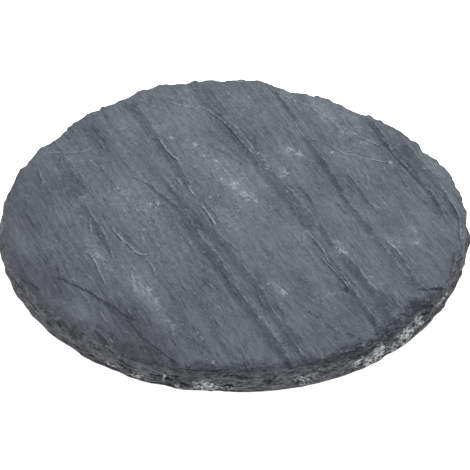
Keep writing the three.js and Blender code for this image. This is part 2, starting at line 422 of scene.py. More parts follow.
def edge_drop(deg, inward):
    worn = worn_share(deg, WEAR_HALF)
    drop = EDGE_DROP * (1 - ramp(inward, 0, EDGE_REACH))
    drop = drop + worn * WEAR_DROP * 2 * (1 - ramp(inward, -WEAR_REACH, WEAR_REACH))
    for scar in SCARS:
        drop = drop + scar_drop(deg, inward, scar, floor_share=0.87)
    for scar in small_scars:
        drop = drop + (1 - 0.7 * worn) * scar_drop(deg, inward, scar, floor_share=0.7)
    return drop


print(len(SCARS), "large scars and", len(small_scars), "small ones")

# %% [markdown]
# ## Building the stone
#
# The face starts as a square grid. Each square ring of its vertices is moved onto a
# circle, which keeps all the cells about the same size and leaves no pole in the middle,
# as a fan or a cone would. The border of the grid is then extruded down, one row at a
# time, to make the rim. A second, coarser grid makes the underside, and the gap is
# bridged. The cells are about 1.3 mm, which is as fine as the photograph shows.

# %% Grid helpers
FACE_CELLS = 236
UNDER_CELLS = 118
UNDER_INSET = 1.6
UNDER_HEIGHT = 0.14
TUCK = 0.01
FLAT_SHADED_ABOVE = 0.4


def grid_to_disc(flat):
    """Square ring coordinates to (angle in degrees, share of the radius)."""
    p, q = flat[:, 0], flat[:, 1]
    wide = np.abs(p) >= np.abs(q)
    with np.errstate(divide="ignore", invalid="ignore"):
        sideways = 45.0 * q / p + np.where(p < 0, 180.0, 0.0)
        upright = 90.0 - 45.0 * p / q + np.where(q < 0, 180.0, 0.0)
    deg = np.nan_to_num(np.where(wide, sideways, upright))
    return deg % 360.0, np.minimum(np.maximum(np.abs(p), np.abs(q)), 1.0)


def place(verts, x, y, z):
    for vert, px, py, pz in zip(verts, x, y, z):
        vert.co = (px, py, pz)


def angles_of(verts):
    return np.degrees(np.arctan2([v.co.y for v in verts], [v.co.x for v in verts])) % 360.0


def to_object(shape, name):
    """Turns a finished bmesh into an object of the scene."""
    made = bpy.data.objects.new(name, bpy.data.meshes.new(name))
    shape.to_mesh(made.data)
    shape.free()
    scene.collection.objects.link(made)
    return made


# %% The face
stone = bmesh.new()
down = stone.verts.layers.float.new("down")
top_height = stone.verts.layers.float.new("top_height")
bmesh.ops.create_grid(stone, x_segments=FACE_CELLS, y_segments=FACE_CELLS, size=1.0)
face_verts = list(stone.verts)
deg, share = grid_to_disc(np.array([v.co[:] for v in face_verts]))
edge = rim_radius(deg, 1.0)
x, y = polar(share * edge, deg)
z = face_height(x, y) - edge_drop(deg, edge - share * edge)
place(face_verts, x, y, z)
for vert, height in zip(face_verts, z):
    vert[top_height] = height
print(f"face: {len(face_verts)} vertices, {z.min():.2f} to {z.max():.2f} mm high")

# %% The rim: two extruded rows for each layer, its top and its bottom
rim_rows = [(1, 0.91)]
for layer in range(2, RIM_LAYERS + 1):
    rim_rows.append((layer, 1.0 - (layer - 1) / RIM_LAYERS - TUCK))
    rim_rows.append((layer, max(0.0, 1.0 - layer / RIM_LAYERS + TUCK)))
rim_rows[-1] = (RIM_LAYERS, 0.0)

row = [e for e in stone.edges if e.is_boundary]
for layer, t in rim_rows:
    made = bmesh.ops.extrude_edge_only(stone, edges=row)["geom"]
    verts = [g for g in made if isinstance(g, bmesh.types.BMVert)]
    row = [g for g in made if isinstance(g, bmesh.types.BMEdge) and g.is_boundary]
    deg = angles_of(verts)
    top = np.array([v[top_height] for v in verts])
    wander = sum(
        0.9 * rim_unevenness(deg, 10, 20 * level[0]) * max(0.0, 1 - abs(t - level[0]) / 0.19)
        for level in RIM_LEVELS[1:-1]
    )
    height = t * top + wander  # as the solid's levels wander up and down
    fade = min(1.0, 0.35 + 3.0 * (1 - t)) * min(1.0, 0.2 + 2.6 * t)
    radius = rim_radius(deg, t) + fade * layer_offset(deg, layer, t) + bench(deg, t)
    radius = radius + min(1.0, 5 * (1 - t)) * (MEAN_CUT - knapped(deg, height)[0])
    height = np.maximum(height, 0.25 + 0.2 * rim_unevenness(deg, 5, 60))
    place(verts, *polar(radius, deg), height)
    for vert in verts:
        vert[down] = 1.0 - t
print("rim:", len(rim_rows), "rows of", len(row), "cells")

# %% The underside and the bridge to it
under_grid = bmesh.ops.create_grid(
    stone, x_segments=UNDER_CELLS, y_segments=UNDER_CELLS, size=1.0,
)
under_border = {e for v in under_grid["verts"] for e in v.link_edges if e.is_boundary}
bmesh.ops.subdivide_edges(stone, edges=list(under_border), cuts=1)
under_verts = [v for v in stone.verts if abs(v.co.z) < 1e-9]  # all the rest is higher by now
deg, share = grid_to_disc(np.array([v.co[:] for v in under_verts]))
x, y = polar(share * (rim_radius(deg, 0.0) - UNDER_INSET), deg)
along, across = streak_axes(x, y)
z = UNDER_HEIGHT + 0.1 * unevenness(along / 40, across / 12)
place(under_verts, x, y, z + 0.04 * unevenness(along / 14, across / 4))
for vert in under_verts:
    vert[down] = 1.0
both_borders = [e for e in stone.edges if e.is_boundary]
bmesh.ops.bridge_loops(stone, edges=both_borders)
print(f"underside: {len(under_verts)} vertices, {len(both_borders)} border edges bridged")

# %% Into the shared frame and into a mesh
middle_x, middle_y = OUTLINE_MIDDLE
bmesh.ops.translate(stone, verts=stone.verts, vec=(-middle_x, -middle_y, 0))
bmesh.ops.scale(stone, verts=stone.verts, vec=(MM, MM, MM))
bmesh.ops.recalc_face_normals(stone, faces=stone.faces)
for face in stone.faces:
    below_edge = any(v[down] > 0 for v in face.verts)
    above_ground = any(v.co.z > FLAT_SHADED_ABOVE * MM for v in face.verts)
    face.smooth = not (below_edge and above_ground)
open_edges = sum(1 for e in stone.edges if not e.is_manifold)
piece = to_object(stone, "slate_stone_riven")
mesh = piece.data
mesh.calc_loop_triangles()
print(f"stone: {len(mesh.loop_triangles)} triangles, {open_edges} open edges")

# %% [markdown]
# ## Marks on the surface
#
# Slate's colour isn't even: there are darker bands where another bed shows, pale dusty
# patches, scratches, purple-brown weathering near the edge and pale crust on the rim.
# Some marks are painted light and shade: highlights on ledge edges, a sheen over the
# middle, and shade at the near side and in the flake scars at the front.
# These sit in particular places, so noise alone can't draw them. They could be painted
# as an image, but a mark given by its place and size is easy to read and to change. Each
# kind is worked out for every vertex and kept as an attribute that the material reads.

# %% Where the marks are
DARK_BANDS = [
    # half width, strength, path from the far side to the near side
    (4.6, 0.85, (-18, 112), (-8, 95), (2, 77), (14, 57), (26, 38), (34, 22), (40, 8), (46, -5),
        (53, -19)),
    (2.8, 0.6, (-28, 143), (-24, 126), (-18, 112), (-10, 99)),
    (1.7, 0.65, (-19, 141), (-14, 128), (-9, 116), (-5, 106)),
    (2.2, 1, (48, -18), (56, -34), (58, -44), (64, -55), (71, -66), (75, -76), (80, -88),
        (86, -100), (91, -114)),
    (3, 1, (52, -8), (59, -20), (64, -33), (70, -44), (77, -55), (83, -68), (90, -82), (96, -94),
        (100, -106)),
    (1.8, 0.9, (90, -73), (98, -84), (104, -92)),
    (0.9, 0.8, (-20, 92), (-8, 76), (2, 62), (12, 50)),
    (0.8, 0.8, (-19, 76), (-10, 68), (-3, 61), (6, 50)),
    (3, 0.62, (-72, 119), (-66, 108), (-60, 97), (-55, 85), (-51, 76)),
    (2, 0.75, (-53, 80), (-50, 73), (-44, 61), (-38, 50), (-33, 38), (-30, 26)),
    (1.5, 0.6, (-48, 38), (-41, 24), (-35, 12), (-30, 2)),
    (1.4, 1.05, (-67, 38), (-58, 30), (-50, 21), (-42, 12), (-34, 1), (-29, -5)),
    (3.4, 0.95, (-40, 4), (-30, -11), (-22, -26), (-16, -38), (-10, -50), (-3, -64), (4, -80),
        (12, -96), (19, -111), (26, -126), (34, -143), (40, -156)),
    (2.4, 0.9, (-31, 3), (-22, -10), (-14, -21), (-7, -31), (0, -42), (6, -54), (12, -67),
        (18, -82), (24, -97), (31, -112), (38, -128), (45, -142), (51, -155)),
    (2.5, 0.85, (45, 88), (50, 75), (55, 64), (60, 50), (66, 36), (71, 22), (78, 5), (82, -5),
        (88, -15), (94, -26)),
    (2.3, 0.8, (90, -19), (95, -30), (99, -40), (104, -52), (110, -65), (117, -81)),
    (1.3, 1.1, (96, -20), (103, -34), (108, -45), (112, -58), (119, -71)),
    (1.3, 1.1, (66, 14), (71, 7), (75, 2)),
    (1.5, 1.15, (87, 111), (94, 97), (98, 85), (104, 73), (110, 60), (118, 46), (124, 34),
        (130, 20), (134, 8), (138, -3)),
    (1.3, 1.3, (92, 107), (97, 95), (101, 84)),
    (2.6, 0.9, (112, 82), (118, 68), (124, 54), (130, 44), (136, 28), (141, 13), (146, -3)),
    (1.4, 0.7, (108, 40), (116, 28), (126, 14), (132, 3)),
    (1, 0.85, (21, 142), (28, 132), (33, 120), (38, 110), (42, 98), (45, 90)),
    (1, 1, (27, 138), (31, 127), (36, 117)),
    (1, 1.1, (73, 46), (80, 32), (84, 22), (88, 12)),
    (1, 1.2, (43, 31), (48, 22), (52, 10)),
    (4.2, 0.6, (-122, 61), (-115, 50), (-108, 38), (-104, 25), (-98, 12)),
    (1.3, 0.75, (-89, 47), (-84, 37), (-79, 28), (-71, 15), (-66, 6), (-59, -6)),
    (2, 0.9, (-98, 7), (-93, -3), (-88, -14), (-82, -29), (-77, -41)),
    (1.6, 0.6, (-136, -2), (-128, -16), (-120, -30)),
    (0.7, 1.6, (-112, -68), (-104, -70), (-94, -78), (-82, -87), (-76, -92), (-70, -98),
        (-65, -104), (-58, -109)),
    (0.9, 1.2, (-65, -104), (-61, -113), (-55, -123), (-46, -132), (-38, -140), (-30, -147)),
    (0.6, 1.9, (-134, -65), (-126, -72), (-119, -80)),
    (1.3, 1.8, (-119, -97), (-113, -105)),
    (1, 1.6, (-109, -103), (-103, -109)),
    (1.2, 1.6, (-83, -116), (-76, -126), (-71, -135)),
    (0.55, 1.5, (47, -95), (55, -103)),
    (0.6, 1, (58, -107), (68, -118)),
    (0.6, 1.3, (71, -116), (80, -122)),
    (1.4, 2, (70, -72), (73, -77)),
    (1.1, 2.4, (115, -72), (126, -71), (138, -70)),
    (2.8, 1.8, (113, -81), (118, -94)),
    (2.8, 2, (120, -84), (126, -96)),
    (1.2, 2.2, (103, -97), (112, -97)),
    (0.8, 1.8, (63, -136), (70, -132), (77, -128), (84, -124)),
    (0.7, 1.6, (46, -143), (54, -142), (61, -141)),
    (0.8, 1.8, (92, -117), (98, -112), (104, -108)),
    (1, 0.7, (-28, 4), (-18, -10), (-9, -24), (0, -36)),
]
TONE_AND_SHEEN_PATCHES = [
    # x, y, reach along the streaks, reach across them, lighter or darker
    (4, 26, 22, 8, 0.5), (-20, 62, 30, 12, 0.3), (-60, 5, 34, 14, 0.35), (70, -36, 10, 6, 0.6),
    (38, 68, 10, 8, 0.45), (34, 134, 12, 5, 0.5), (64, 105, 5, 9, 0.3), (78, 91, 5, 9, 0.35),
    (92, 81, 4, 9, 0.35), (75, 66, 4, 9, 0.3), (92, 61, 3, 9, 0.3), (58, 116, 10, 6, 0.3),
    (128, 62, 16, 4, 0.35), (33, 45, 8, 4, 0.45), (-73, 88, 16, 7, 0.5), (-72, 20, 14, 8, 0.25),
    (8, 118, 24, 14, 0.25), (72, 90, 30, 14, 0.22), (-50, -87, 26, 6, 0.75),
    (-62, -70, 20, 6, 0.35), (30, -75, 12, 7, 0.45), (-86, -42, 18, 5, 0.55), (0, -8, 18, 9, 0.4),
    (-98, 55, 12, 5, 0.3), (104, -28, 8, 5, 0.5), (118, -27, 7, 4, 0.45), (116, -12, 5, 3, 0.45),
    (92, -66, 7, 4, 0.35), (40, -20, 18, 5, 0.25), (26, -112, 14, 3, 0.4),
    (-92, -104, 12, 7, 0.4), (138, 45, 20, 5, 0.2), (55, -60, 30, 8, 0.12),
    (-35, 125, 14, 5, 0.3), (-125, 35, 14, 5, 0.25), (62, -80, 8, 5, 0.3),
    (-95, 85, 22, 12, -0.48), (-72, 114, 8, 7, -0.4), (-138, 5, 40, 12, -0.55),
    (-90, 60, 10, 6, -0.18), (-125, -62, 22, 14, -0.35), (-112, -78, 16, 8, -0.3),
    (-66, -105, 24, 16, -0.5), (-95, -124, 18, 24, -0.42), (-70, -136, 14, 18, -0.6),
    (-45, -132, 22, 10, -0.4), (85, -100, 24, 8, -0.25), (-112, 20, 36, 9, -0.35),
    # The widest two, at (5, -125) and (0, 25), are painted light: shade on the near side, sheen
    # in the middle
    (66, 30, 30, 10, -0.12), (125, 30, 34, 8, -0.2), (5, -125, 50, 100, -0.2),
    (0, 25, 60, 70, 0.12), (5, 90, 20, 5, -0.2), (50, 95, 16, 6, -0.15),
    (-20, -132, 14, 12, -0.15), (10, -128, 16, 14, -0.12),
]
PALE_FLECKS = [
    # x, y, size, strength
    (-42, 80, 2.6, 1), (-26, 72, 3, 1), (-20, 61, 2.4, 0.7), (-12, 55, 2.8, 0.9),
    (-26, 49, 1.8, 1), (-28, 42, 2, 0.7), (-8, 35, 2.4, 0.9), (-10, 18, 1.6, 1),
    (-15, 16, 1.6, 1), (-54, 8, 3.2, 1), (-49, 9, 3, 0.9), (-57, 2, 3, 0.7), (-50, 3, 2.6, 0.7),
    (-98, 14, 2.4, 0.8), (-133, 13, 1.6, 0.7), (37, 70, 4, 1), (43, 65, 3.8, 1.1),
    (65.5, 67.5, 1.5, 1.6), (84, 68, 2, 0.7), (104, 58.5, 1.6, 1.8), (126, 52, 1.2, 1.6),
    (113, 44, 1.6, 0.8), (139, 27, 1.2, 1), (34, 45, 3.4, 1), (32, 41, 2.4, 0.8),
    (22, 49, 1.8, 0.8), (16, 65, 1.2, 0.9), (35, 25, 1.8, 1), (39, 21, 1.6, 0.8),
    (22, 29, 1.2, 0.9), (0, 31, 5, 0.9), (8, 21, 5.4, 0.9), (15, 12, 4, 0.6), (10, 14, 3.4, 0.6),
    (75, 47, 2.8, 0.7), (24, 8, 1.4, 0.9), (100, 40, 1.2, 0.8), (116, -11, 2.6, 0.9),
    (67, -28, 3, 0.8), (70, -37, 4.4, 1), (104, -28, 3, 0.8), (118, -27, 3.4, 0.8),
    (88, -62, 1.8, 1.2), (93, -68, 2.2, 0.8), (23, -71, 1.6, 1.1), (32, -78, 4.4, 0.9),
    (62, -79, 3, 0.8), (68, -77, 2, 0.7), (24, -36, 1.6, 0.8), (-57, -19, 1.6, 1.1),
    (-84, -84, 1.7, 0.7), (-85, -46, 4, 0.7), (-98, -70, 2.6, 0.8), (-51, -79, 2.8, 1.1),
    (-46, -88, 3.4, 0.8), (-43, -95, 3, 0.7), (-38, -108, 2, 0.9), (-34, -112, 1.8, 1.1),
    (-17, -123, 2.4, 1), (-20, -118, 1.6, 0.8), (-72, -126, 1.5, 1), (-92, -107, 3, 0.6),
    (81, -125, 1.4, 1.6), (-10, -145, 2.2, 1), (56, -139, 2, 0.9), (-30, 117, 1.4, 0.9),
    (-65, 122, 2, 0.7), (15, 144, 2, 0.8), (3, 148, 2, 0.9), (-124, 27, 1.6, 0.8),
    (-20, 8, 1.6, 1.1), (1, 27, 3, 0.8),
]
# Pale lines: real scratches, and along the ledges painted highlights where an edge catches the
# light
SCRATCHES_AND_LEDGE_HIGHLIGHTS = [
    # strength, path from the far side to the near side
    (0.6, (-66, 124), (-60, 118), (-52, 114)),
    (0.65, (-50, 123), (-40, 119), (-30, 116), (-22, 117), (-18, 114), (-12, 107), (-6, 98),
        (0, 87), (6, 77), (12, 67), (15, 61)),
    (0.35, (-11, 113), (-4, 101), (3, 89), (10, 77), (14, 69)),
    (1, (-53, 84), (-48, 75), (-44, 66), (-38, 57), (-33, 50)),
    (0.85, (50, 120), (60, 110), (67, 102), (75, 94), (83, 87), (91, 81), (101, 74)),
    (0.4, (28, 137), (40, 127), (50, 121), (58, 116)),
    (0.85, (50, 84), (58, 80), (66, 74), (74, 66), (84, 63), (94, 61), (104, 59)),
    (1.5, (-20.5, 8), (-17, 1), (-13, -8), (-10.5, -14)),
    (1.3, (-78, -16), (-72, -26), (-66, -34), (-60, -42), (-56, -45), (-51, -43)),
    (0.6, (-92, -6), (-90, -23)),
    (1, (-31, 29), (-28, 22), (-22, 14)),
    (1, (-38, 38), (-34, 29)),
    (0.8, (46, -15), (54, -27), (59, -38)),
    (1, (55, -40), (60, -50), (66, -58), (71, -66), (75, -74)),
    (0.6, (98, -24), (103, -31), (109, -40)),
    (0.6, (-51, -53), (-47, -70)),
    (0.5, (-62, -60), (-60, -77)),
    (0.6, (104, 74), (108, 65), (114, 55), (121, 43)),
    (0.7, (-111, 58), (-105, 47)),
    (0.6, (-97, 57), (-91, 48)),
    (0.6, (-128, 43), (-124, 27)),
    (0.5, (-125, 62), (-112, 62), (-100, 63), (-92, 69)),
    (0.6, (20, 141), (24, 136), (28, 128)),
    (0.6, (40, 103), (44, 91), (49, 80)),
    (0.9, (143, 15), (146, 3), (146.5, -12), (147, -26)),
    (0.8, (149, -6), (148.5, -24), (145.5, -38), (142, -50)),
    (0.9, (142, -34), (140, -48), (137, -60)),
    (0.8, (-90, -41), (-85, -52), (-82, -63), (-78, -76)),
]
CRUST = [
    # angle, height, half width along the rim, half height, strength
    (264.5, 4.2, 10, 4.6, 1), (269.5, 4, 6, 2.6, 0.85), (288, 6, 9, 5, 0.95),
    (301.5, 7.5, 3.2, 4, 1.4), (304, 3.5, 4.5, 4, 1.3), (307.5, 7, 6, 6, 1.25),
    (312, 4, 6, 5, 0.7), (316.5, 8, 7, 8, 0.85), (322, 9, 6, 7, 0.62), (331, 11, 9, 3.5, 0.6),
    (242, 5, 8, 3, 0.6), (248, 4.5, 5, 2.4, 0.7), (255, 9, 1.3, 4.5, 0.7),
    (258.5, 1.6, 4, 1.6, 0.6), (18, 6, 9, 4, 0.6), (66, 8, 7, 4, 0.7), (104, 5, 12, 3.5, 0.6),
    (139, 9, 6, 5, 0.5), (173, 4, 9, 3, 0.6),
]
PURPLE_BROWN = [
    # x, y, reach
    (-62, -128, 22), (-95, -112, 20), (-122, -75, 18), (-140, -20, 14),
]
SMALLEST_FLECK = 1.7
SHADED_SCAR_SHARE = 0.65  # how much of a large scar's reach is dark: the part beside the edge
# Painted scar shade is strongest at the front and wear is most ragged at the lower left:
# angle, all within this many degrees, none beyond this many
SHADED_SCARS = (296, 34, 48)
RAGGED_WEAR = (234, 8, 18)
WEAR_TINT_HALF = 60

# %% [markdown]
# Between the marks that stand out, the face is full of short hairlines, pale and dark,
# that nearly follow the streaks. Nobody would place those by hand: a seeded generator
# scatters them, so that they come out the same at every run.

# %% Scattered hairlines
def hairlines(number, longest, strongest):
    rows = []
    for _ in range(number):
        heading = math.radians(LINEATION_DEG + chooser.gauss(0, 9))
        reach = chooser.uniform(0.25, 1.0) * longest
        away = MEAN_RADIUS * math.sqrt(chooser.uniform(0, 0.9))
        bearing = chooser.uniform(0, 2 * math.pi)
        px, py = away * math.cos(bearing), away * math.sin(bearing)
        path = [(px, py)]
        for _ in range(3):
            heading += chooser.gauss(0, 0.16)
            px, py = px + reach / 3 * math.cos(heading), py + reach / 3 * math.sin(heading)
            path.append((px, py))
        rows.append((chooser.uniform(0.35, 1.0) * strongest, *path))
    return rows


pale_hairlines = hairlines(number=90, longest=14, strongest=0.5)
dark_hairlines = [
    (chooser.uniform(0.5, 1.1), *row) for row in hairlines(number=120, longest=34, strongest=0.65)
]
print(len(pale_hairlines), "pale and", len(dark_hairlines), "dark hairlines")

# %% [markdown]
# The dark bands are beds that pass through the whole stone at a slant, so they come out on
# the underside a little to one side. Dust, flecks, scratches and crust lie on the surface:
# the underside, which rests on the ground, gets none of them.

# %% Where each vertex is
BAND_SLANT = 14.0
count = len(mesh.vertices)
flat = np.empty(count * 3)
mesh.vertices.foreach_get("co", flat)
flat = flat.reshape(-1, 3) / MM
x, y, z = flat[:, 0] + middle_x, flat[:, 1] + middle_y, flat[:, 2]
lowered = np.empty(count)
mesh.attributes["down"].data.foreach_get("value", lowered)
deg = np.degrees(np.arctan2(y, x)) % 360.0
radius = np.hypot(x, y)
inward = rim_radius(deg, 1.0) - radius
along, across = streak_axes(x, y)
under = ramp(rim_radius(deg, 0.0) - UNDER_INSET - radius, 0, 5) * (z < 1.0)
slant = BAND_SLANT * (1 - ramp(z, 1, 12))
ragged_x, ragged_y = ragged_place(x + slant, y)
print(count, "vertices,", int((under > 0).sum()), "of them on the underside")

# %% Bands, patches, flecks and scratches
def nearest_mark(rows, wavering, ends, fade, none):
    """Distance to the nearest path in half widths, less than 0 on its right, and its force."""
    offset, force = np.full(count, none), np.zeros(count)
    for half_width, strength, *path in rows:
        distance, side, on_path = near_path(path, ragged_x, ragged_y)
        width = half_width * (1 + wavering * unevenness(along / 14, across / 40 + half_width))
        distance = distance / width
        here = strength * faded_ends(on_path, ends) * (1 - ramp(distance, *fade))
        force = np.where(distance < np.abs(offset), here, force)
        offset = np.where(distance < np.abs(offset), side * distance, offset)
    return offset, force


band_side, band_force = nearest_mark(
    DARK_BANDS + dark_hairlines, wavering=0.35, ends=0.08, fade=(2, 2.9), none=3.0,
)
# Pale lines of scratches and hairlines, and painted highlights on the ledge edges
scratch_and_highlight_side, scratch_and_highlight_force = nearest_mark(  # a scratch is 1 mm to each side
    [(1, *row) for row in SCRATCHES_AND_LEDGE_HIGHLIGHTS + pale_hairlines],
    wavering=0, ends=0.1, fade=(2, 3.8), none=4.0,
)
scratch_and_highlight_force *= 1 - under

tone = np.zeros(count)
# Lighter and darker patches; the two widest are a painted sheen over the middle and painted shade
# near
for px, py, reach, spread, amount in TONE_AND_SHEEN_PATCHES:
    d_along, d_across = streak_axes(x + slant - px, y - py)
    tone += amount * soft_spot(d_along / reach, d_across / spread)

fleck = np.zeros(count)
for px, py, size, strength in PALE_FLECKS:
    d_along, d_across = streak_axes(x - px, y - py)
    size = max(size, SMALLEST_FLECK)
    fleck = np.maximum(fleck, strength * soft_spot(d_along / size, 1.4 * d_across / size))
fleck *= 1 - under
print("bands, patches, flecks and scratches worked out")

# %% The edge: scars, cuts, crust and wear
# Painted shade in the flake scars: distance to a scar's border, and how dark it is painted there
scar_side = np.full(count, 4.0)  # in mm, less than 0 inside a scar
scar_shade_force = np.zeros(count)
shaded_scars = [(centre, SHADED_SCAR_SHARE * reach, *rest) for centre, reach, *rest in SCARS]
for centre, reach, half, drop in shaded_scars + small_scars:
    outside = (across_scar(deg, inward, centre, reach, half) - 0.93) * min(reach, half)
    outside = np.maximum(outside, -4.0)
    scar_shade_strength = min(1.0, max(0.3, 1.1 * (drop - 0.7)))
    scar_shade_force = np.where(outside < scar_side, scar_shade_strength, scar_shade_force)
    scar_side = np.minimum(scar_side, outside)
# The painted shade is strongest at the front, where the scars' steep sides face away from the
# panel
scar_shade_force *= 0.12 + 0.88 * near_angle(deg, *SHADED_SCARS)
_, cut_lead, cut_tone = knapped(deg, z)

worn = worn_share(deg, WEAR_TINT_HALF)
rim = ramp(lowered, 0.0, 0.12) * (1 - under)
crust = np.zeros(count)
for centre, height, half, half_height, strength in CRUST:
    spot = soft_spot(along_rim(deg, centre) / half, (z - height) / half_height)
    crust = np.maximum(crust, strength * spot)
crust *= rim
frayed = 1.1 * unevenness(x / 6, y / 6) + 0.5 * unevenness(x / 2.2, y / 2.2)
warm = np.clip(rim + (1 - ramp(inward, 1, 9)) * (0.25 + 0.75 * worn), 0, 1)
rough_edge = 0.6 + 1.6 * near_angle(deg, *RAGGED_WEAR)
rim = np.maximum(rim, worn * (1 - ramp(inward + frayed, rough_edge - 2.0, rough_edge + 1.5)))
for px, py, reach in PURPLE_BROWN:
    warm = np.maximum(warm, 0.7 * soft_spot((x - px) / reach, (y - py) / reach))
print("scars, cuts, crust and wear worked out")

# %% Keep the marks as attributes
for name, values in {
    "band_side": band_side, "band_force": band_force, "tone": tone, "fleck": fleck,
    "scratch_and_highlight_side": scratch_and_highlight_side, "scratch_and_highlight_force": scratch_and_highlight_force,
    "scar_side": scar_side, "scar_shade_force": scar_shade_force, "cut_lead": cut_lead,
    "cut_tone": cut_tone, "worn": worn, "rim": rim, "crust": crust, "warm": warm,
}.items():
    attribute = mesh.attributes.new(name, "FLOAT", "POINT")
    attribute.data.foreach_set("value", values.astype(np.float32))
    print(f"{name} from {values.min():.2f} to {values.max():.2f}")

# %% [markdown]
# ## Writing shader maths as expressions
#
# A material with many parts is hard to follow as a list of nodes and links. The class
# Wire wraps one output socket and gives it the usual operators, so `1 - mask * 0.5` adds
# the Math nodes that it says. The class Shader makes all the other nodes by one method,
# which sets a node's options first and then its sockets.

# %% A socket that can be calculated with
class Wire:
    def __init__(self, shader, socket):
        self.shader, self.socket = shader, socket

    def math(self, operation, *values, clamp=False):
        settings = {"operation": operation, "use_clamp": clamp}
        made = self.shader.node("ShaderNodeMath", settings, dict(enumerate(values)))
        return Wire(self.shader, made.outputs[0])

    def __add__(self, other):
        return self.math("ADD", self, other)

    __radd__ = __add__

    def __sub__(self, other):
        return self.math("SUBTRACT", self, other)

    def __rsub__(self, other):
        return self.math("SUBTRACT", other, self)

    def __mul__(self, other):
        return self.math("MULTIPLY", self, other)

    __rmul__ = __mul__

    def clamped(self):
        return self.math("ADD", self, 0.0, clamp=True)

    def abs(self):
        return self.math("ABSOLUTE", self)

    def between(self, low, high):
        """0 below low, 1 above high, smooth between."""
        inputs = {"Value": self, "From Min": low, "From Max": high}
        settings = {"interpolation_type": "SMOOTHSTEP"}
        made = self.shader.node("ShaderNodeMapRange", settings, inputs)
        return Wire(self.shader, made.outputs["Result"])


class Shader:
    def __init__(self, name):
        self.material = bpy.data.materials.new(name)
        self.material.use_nodes = True
        self.tree = self.material.node_tree
        self.tree.nodes.clear()

    def node(self, kind, settings=None, inputs=None):
        made = self.tree.nodes.new(kind)
        for key, value in (settings or {}).items():
            setattr(made, key, value)
        for key, value in (inputs or {}).items():
            if isinstance(value, Wire):
                self.tree.links.new(value.socket, made.inputs[key])
            else:
                made.inputs[key].default_value = value
        return made

    def attribute(self, name):
        made = self.node("ShaderNodeAttribute", {"attribute_name": name})
        return Wire(self, made.outputs["Fac"])

    def mix(self, first, second, factor):
        """From the first colour to the second; each is a wire or red, green and blue."""
        first, second = (c if isinstance(c, Wire) else (*c, 1) for c in (first, second))
        made = self.node("ShaderNodeMix", {"data_type": "RGBA"}, {0: factor, 6: first, 7: second})
        return Wire(self, made.outputs[2])

    def mapped(self, vector, **inputs):
        """The vector turned by a Rotation or stretched by a Scale."""
        made = self.node("ShaderNodeMapping", None, {"Vector": vector, **inputs})
        return Wire(self, made.outputs["Vector"])

    def noise(self, vector, scale, detail, roughness):
        """Noise with its middle at zero, about -0.5 to 0.5; a scale for all axes or for each."""
        if isinstance(scale, tuple):
            vector, scale = self.mapped(vector, Scale=scale), 1.0
        made = self.node("ShaderNodeTexNoise", None, {
            "Vector": vector, "Scale": scale, "Detail": detail, "Roughness": roughness,
        })
        return Wire(self, made.outputs["Fac"]) - 0.5

    def surface(self, inputs):
        """The surface itself, from plain values and wires, joined to the material's output."""
        made = self.node("ShaderNodeBsdfPrincipled", None, inputs)
        self.node("ShaderNodeOutputMaterial", None, {"Surface": Wire(self, made.outputs["BSDF"])})


slate = Shader("riven_slate")
print("material", slate.material.name, "started")

# %% [markdown]
# ## The slate
#
# Dry slate is a mid blue-grey with very little gloss. Noise drawn out along the streaks
# gives the fine lines, round noise gives the mottling, and the attributes put the bands,
# patches, flecks and scratches where they belong. Some of it is painted light and shade:
# highlights on ledge edges and small steps with painted shadow beside them, a painted
# sheen over the middle of the face, painted shade at its near side and in the scars at
# the front. The broken rim is darker and less blue, with a painted black shadow just
# under its upper edge, painted light on its worn left part and pale crust in places.
# One material covers the whole stone, because a separate rim material would show a hard
# seam at the edge.

# %% The colours of the stone
SLATE_DARK, SLATE_PALE = (0.0166, 0.0196, 0.0275), (0.1350, 0.1516, 0.1730)
DUST_WHITE = (0.46, 0.475, 0.50)
WORN_BROWN = (0.060, 0.059, 0.072)
RIM_DARK, RIM_PALE = (0.0115, 0.012, 0.0135), (0.186, 0.193, 0.212)
BENCH_GREY, SHADOW_BLACK = (0.085, 0.091, 0.104), (0.014, 0.015, 0.018)
CRUST_GREY, CRUST_WHITE = (0.125, 0.130, 0.135), (0.52, 0.535, 0.545)
print("ten colours, from gap black to crust white")

# %% Texture coordinates and noises
position = Wire(slate, slate.node("ShaderNodeTexCoord").outputs["Object"])
laid = slate.mapped(position, Rotation=(0, 0, math.radians(-LINEATION_DEG)))
streaks_long = slate.noise(laid, (16, 210, 60), 4.0, 0.6)
streaks_fine = slate.noise(laid, (120, 560, 300), 3.0, 0.6)
flakes = slate.noise(laid, (28, 95, 60), 5.0, 0.62)
mottle = slate.noise(position, 330, 4.0, 0.65)
grain = slate.noise(position, 1000, 2.0, 0.6)
cloud = slate.noise(position, 26, 3.0, 0.5)
layered = slate.noise(position, (170, 170, 800), 5.0, 0.7)
chips = slate.noise(position, (420, 420, 700), 3.0, 0.6)
powder = slate.noise(laid, (420, 950, 700), 2.0, 0.6)
seam = slate.noise(laid, (13, 120, 50), 4.0, 0.6)
thread = slate.noise(laid, (150, 330, 240), 3.0, 0.6)
broken = slate.noise(position, 75, 4.0, 0.6)
print("noises for streaks, mottling, grain, clouds and the rim's layers")

# %% Thin layers: their steps, a painted highlight on each step's edge and painted shade on its riser
steps = flakes * 9.0
tread = steps.math("FLOOR", steps)
riser = steps - tread
step_highlight = (1 - riser.between(0.04, 0.10)) * (streaks_fine + cloud).between(0.02, 0.14)
step_shade = riser.between(0.90, 0.97) * (mottle - cloud).between(0.0, 0.14)
print("steps of the thin layers")

